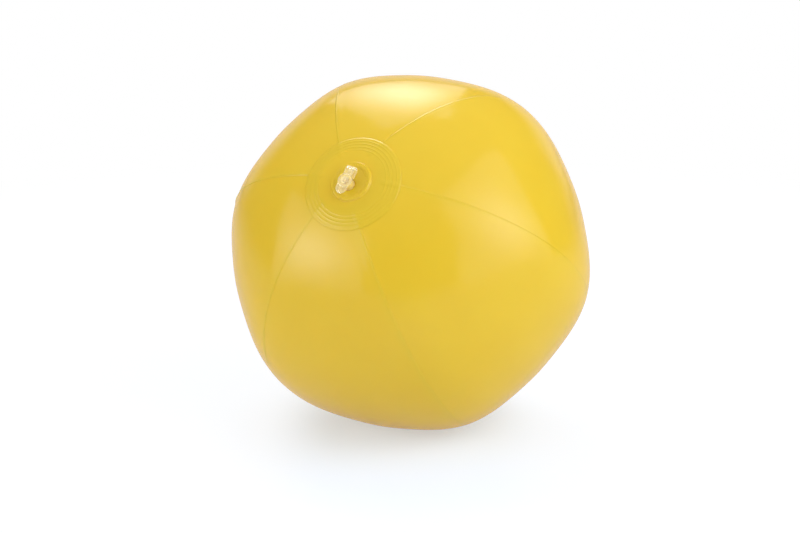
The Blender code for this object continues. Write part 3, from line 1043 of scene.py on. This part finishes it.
# How far the strap's ends reach into plug and stem, and the points along its legs and its bend.
STRAP_IN_PLUG = 0.0008
STRAP_IN_STEM = 0.0005
LEG_STEPS = 8
BEND_STEPS = 24


def strap_tree(values):
    """Sweeps a flat strap with rounded edges along a curve, its width square to the curve's plane."""
    tree, size = new_tree("Flat strap", values)
    level = add_node(tree, "GeometryNodeSetCurveNormal", named={"Curve": size["Path"]}, mode="Z_UP")
    flat = add_node(tree, "GeometryNodeCurvePrimitiveQuadrilateral", size["Thickness"], size["Width"])
    radius = add_node(tree, MATH, size["Thickness"], STRAP_ROUNDING, operation="MULTIPLY")
    rounding = {"Curve": flat, "Count": STRAP_ROUNDING_POINTS, "Radius": radius}
    section = add_node(tree, "GeometryNodeFilletCurve", named=rounding, mode="POLY")
    sweep = {"Curve": level, "Profile Curve": section, "Fill Caps": True}
    return end_tree(tree, add_node(tree, "GeometryNodeCurveToMesh", named=sweep), size["Vinyl"])


class BEACH_BALL_OT_strap(bpy.types.Operator):
    """Mould the strap that ties the plug to the stem"""

    bl_idname = "beach_ball.strap"
    bl_label = "Plug strap"

    def execute(self, context):
        valve = context.scene.valve_sizes
        curve = bpy.data.curves.new("plug_strap_band", "CURVE")
        curve.dimensions = "3D"
        path = self.path(valve)
        spline = curve.splines.new("POLY")
        spline.points.add(len(path) - 1)
        for point, (reach, height) in zip(spline.points, path):
            point.co = (reach, height, 0, 1)
        strap = add_piece("plug_strap_band", curve)
        values = {
            "Path": None,
            "Width": valve.strap_width,
            "Thickness": valve.strap_thick,
            "Vinyl": clear_vinyl(),
        }
        grow(strap, strap_tree(values), values)
        place = valve_place(valve)
        strap = freeze(strap, place @ Matrix.Rotation(math.pi / 2, 4, "X"))
        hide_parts("plug_strap")
        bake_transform(strap)
        return {"FINISHED"}

    def path(self, valve):
        """(distance from the valve's axis, height above the mouth) from the plug's head to the stem."""
        bend = valve.hinge_reach
        high = valve.hinge_height + valve.strap_bend
        low = valve.hinge_height - valve.strap_bend
        in_plug = valve.plug_radius - STRAP_IN_PLUG
        in_stem = valve.stem_radius - STRAP_IN_STEM
        points = [(in_plug + (bend - in_plug) * step / LEG_STEPS, high) for step in range(LEG_STEPS)]
        for step in range(BEND_STEPS + 1):
            turn = math.pi * step / BEND_STEPS
            reach = bend + valve.strap_bend * math.sin(turn)
            points.append((reach, valve.hinge_height + valve.strap_bend * math.cos(turn)))
        for step in range(1, LEG_STEPS + 1):
            points.append((bend + (in_stem - bend) * step / LEG_STEPS, low))
        return points


VIEW_TURN = math.radians(27.3)
VIEW_LIFT = math.radians(15)
VIEW_DISTANCE = 1.5
VIEW_LENS = 92.57
SENSOR_WIDTH = 36

# How far right of the picture's middle the ball is, and how far above it.
VIEW_SHIFT = (0.0070, 0.0107)

# Way from the ball as turn and lift, width and height, and brightness in the middle of the cloth.
SOFT_BOXES = {
    "back_soft_box": ((-173, 52), (1.0, 1.6), 7.8),
    "left_soft_box": ((-65, 14), (1.8, 1.15), 5.8),
    "right_soft_box": ((58, 26), (2.15, 2.3), 5.0),
}
SOFT_BOX_DISTANCE = 1.6
CLOTH_SPAN = (0.0, 0.5)
CLOTH_EDGE = 0.25

FLOOR_SIZE = 15
FLOOR_DROP = 0.0001

# Emission of the bare floor and of the lit sheet near the ball, as shares of the floor's colour.
BARE_FLOOR = 0.3
LIT_SHEET = 0.86

# Distances from the ball over which the sheet turns to plain white, all around and at its sides. At the
# sides this is painted light: the sheet is mixed towards plain emission by the given share, which hides most
# of the ball's shadow there.
SHEET_WHITENS = (0.35, 0.9)
SIDE_LIGHT_PAINTED = (0.05, 0.11)
PAINTED_SIDE_LIGHT = 0.7

# The sheet's edges, by their slant from the camera's foot, and its start in front of the ball.
SHEET_EDGE = (0.22, 0.36)
SHEET_START = (-0.7, -0.36)

# The room from walls to ceiling, and the white wall behind the sheet: heights and ways as parts of a
# unit direction, and strengths.
ROOM_RISE = (0.4, 1.0)
ROOM_LIGHT = (0.25, 0.85)
WALL_AHEAD = (0.7, 0.9)
WALL_TOP = (0.2, 0.4)
WALL_LIGHT = 0.75


def view_way(turn, lift):
    """Direction from the ball, by its turn right of the camera and lift above the floor in degrees."""
    around = VIEW_TURN + math.radians(turn)
    up = math.radians(lift)
    return Vector((math.sin(around) * math.cos(up), -math.cos(around) * math.cos(up), math.sin(up)))


class BEACH_BALL_OT_stage(bpy.types.Operator):
    """Set up the white floor, the soft boxes, the camera and the world"""

    bl_idname = "beach_ball.stage"
    bl_label = "Studio"

    def execute(self, context):
        centre = Vector((0, 0, rest_height(context.scene.ball_sizes)))
        self.make_floor()
        self.make_world(context.scene)
        for name, settings in SOFT_BOXES.items():
            self.add_soft_box(name, centre, *settings)
        self.make_camera(context.scene, centre)
        context.scene.view_settings.view_transform = "Standard"
        return {"FINISHED"}

    def make_floor(self):
        """Pale floor with a white sheet lit from beneath, which greys under the ball; beside the ball
        painted light hides most of its shadow.
        """
        bm = bmesh.new()
        bmesh.ops.create_grid(bm, x_segments=1, y_segments=1, size=FLOOR_SIZE)
        floor = add_piece("studio_floor", mesh_from(bm, "studio_floor"))
        floor.location.z = -FLOOR_DROP
        material = new_material("lit_acrylic_on_pale_floor")
        tree = material.node_tree
        place = add_node(tree, "ShaderNodeTexCoord").node.outputs["Object"]
        tint = bpy.context.scene.ball_finishes.floor
        paint = add_node(tree, "ShaderNodeBsdfDiffuse", tint)
        bare_light = add_node(tree, "ShaderNodeEmission", tint, BARE_FLOOR)
        bare = add_node(tree, "ShaderNodeAddShader", paint, bare_light)
        sheet_light = add_node(tree, "ShaderNodeEmission", tint, LIT_SHEET)
        near = add_node(tree, "ShaderNodeAddShader", paint, sheet_light)
        far = add_node(tree, "ShaderNodeEmission", WHITE, 1.0)

        # The lit sheet starts in front of the ball and widens away from the camera.
        away = add_node(tree, VECTOR_MATH, place, operation="LENGTH")
        ahead = add_node(tree, VECTOR_MATH, place, view_way(180, 0), operation="DOT_PRODUCT")
        sideways = add_node(tree, VECTOR_MATH, place, view_way(90, 0), operation="DOT_PRODUCT")
        beside = add_node(tree, MATH, sideways, operation="ABSOLUTE")
        all_around = add_node(tree, MAP_RANGE, away, *SHEET_WHITENS, 0.0, 1.0, **EASED)
        # Painted light: beside the ball the sheet is mixed towards plain emission, which hides most of the
        # ball's shadow there.
        painted_side_light = add_node(tree, MAP_RANGE, beside, *SIDE_LIGHT_PAINTED, 0.0, PAINTED_SIDE_LIGHT, **EASED)
        white = add_node(tree, MATH, all_around, painted_side_light, operation="MAXIMUM")
        sheet = add_node(tree, "ShaderNodeMixShader", white, near, far)
        from_camera = add_node(tree, MATH, ahead, VIEW_DISTANCE * math.cos(VIEW_LIFT), operation="ADD")
        slope = add_node(tree, MATH, beside, from_camera, operation="DIVIDE")
        inside = add_node(tree, MAP_RANGE, slope, *SHEET_EDGE, 1.0, 0.0, **EASED)
        behind = add_node(tree, MAP_RANGE, ahead, *SHEET_START, 0.0, 1.0, **EASED)
        lane = add_node(tree, MATH, inside, behind, operation="MULTIPLY")
        add_node(tree, "ShaderNodeOutputMaterial", add_node(tree, "ShaderNodeMixShader", lane, bare, sheet))
        floor.data.materials.append(material)

    def make_world(self, scene):
        """A dim room: a white wall behind the sheet, grey walls beside it and a paler ceiling."""
        world = bpy.data.worlds.new("White studio")
        world.use_nodes = True
        tree = world.node_tree
        tree.nodes.clear()
        way = add_node(tree, "ShaderNodeTexCoord").node.outputs["Generated"]
        lift = add_node(tree, "ShaderNodeSeparateXYZ", way).node.outputs["Z"]
        room = add_node(tree, MAP_RANGE, lift, *ROOM_RISE, *ROOM_LIGHT)
        ahead = add_node(tree, VECTOR_MATH, way, view_way(180, 0), operation="DOT_PRODUCT")
        beyond = add_node(tree, MAP_RANGE, ahead, *WALL_AHEAD, 0.0, WALL_LIGHT, **EASED)
        low = add_node(tree, MAP_RANGE, lift, *WALL_TOP, 1.0, 0.0, **EASED)
        strength = add_node(tree, MATH, beyond, low, room, operation="MULTIPLY_ADD")
        add_node(tree, "ShaderNodeOutputWorld", add_node(tree, "ShaderNodeBackground", WHITE, strength))
        scene.world = world

    def add_soft_box(self, name, centre, way, size, brightness):
        """An area lamp that faces the ball, with a cloth that is brightest in its middle."""
        lamp = bpy.data.lights.new(name, "AREA")
        lamp.shape = "RECTANGLE"
        lamp.size, lamp.size_y = size
        lamp.energy = brightness * math.pi * size[0] * size[1]
        lamp.use_nodes = True
        tree = lamp.node_tree
        tree.nodes.clear()
        cloth = add_node(tree, "ShaderNodeNewGeometry").node.outputs["Parametric"]
        away = add_node(tree, VECTOR_MATH, cloth, (0.5, 0.5, 0), operation="DISTANCE")
        level = add_node(tree, MAP_RANGE, away, *CLOTH_SPAN, 1.0, CLOTH_EDGE, **EASED)
        add_node(tree, "ShaderNodeOutputLight", add_node(tree, "ShaderNodeEmission", WHITE, level))
        box = add_piece(name, lamp)
        out = view_way(*way)
        box.location = centre + out * SOFT_BOX_DISTANCE
        box.rotation_euler = out.to_track_quat("Z", "Y").to_euler()
        box.visible_camera = False

    def make_camera(self, scene, centre):
        camera = add_piece("photo_camera", bpy.data.cameras.new("photo_camera"))
        toward = view_way(0, math.degrees(VIEW_LIFT))
        right = Vector((math.cos(VIEW_TURN), math.sin(VIEW_TURN), 0))
        up = toward.cross(right)
        shift = right * VIEW_SHIFT[0] + up * VIEW_SHIFT[1]
        camera.location = centre - shift + toward * VIEW_DISTANCE
        camera.rotation_euler = toward.to_track_quat("Z", "Y").to_euler()
        camera.data.lens = VIEW_LENS
        camera.data.sensor_width = SENSOR_WIDTH
        scene.camera = camera


class BEACH_BALL_PT_panel(bpy.types.Panel):
    """Lists the ball's pieces and sizes"""

    bl_idname = "BEACH_BALL_PT_panel"
    bl_label = "Beach ball"
    bl_space_type = "VIEW_3D"
    bl_region_type = "UI"
    bl_category = "Beach ball"

    def draw(self, context):
        for operator in OPERATORS:
            self.layout.operator(operator.bl_idname)
        for group in GROUPS:
            settings = getattr(context.scene, group)
            box = self.layout.box()
            for name in settings.__annotations__:
                box.prop(settings, name)


GROUPS = {
    "ball_sizes": BallSizes,
    "patch_sizes": PatchSizes,
    "valve_sizes": ValveSizes,
    "ball_finishes": Finishes,
}
OPERATORS = (
    BEACH_BALL_OT_panels,
    BEACH_BALL_OT_patches,
    BEACH_BALL_OT_weld_ribs,
    BEACH_BALL_OT_valve_body,
    BEACH_BALL_OT_plug,
    BEACH_BALL_OT_strap,
    BEACH_BALL_OT_stage,
)
CLASSES = (*GROUPS.values(), *OPERATORS, BEACH_BALL_PT_panel)


def register():
    for cls in CLASSES:
        bpy.utils.register_class(cls)
    for name, group in GROUPS.items():
        setattr(bpy.types.Scene, name, PointerProperty(type=group))


def unregister():
    for name in GROUPS:
        delattr(bpy.types.Scene, name)
    for cls in reversed(CLASSES):
        bpy.utils.unregister_class(cls)


def main():
    register()
    bpy.ops.beach_ball.panels()
    bpy.ops.beach_ball.patches()
    bpy.ops.beach_ball.weld_ribs()
    bpy.ops.beach_ball.valve_body()
    bpy.ops.beach_ball.plug()
    bpy.ops.beach_ball.strap()
    bpy.ops.beach_ball.stage()


if __name__ == "__main__":
    main()
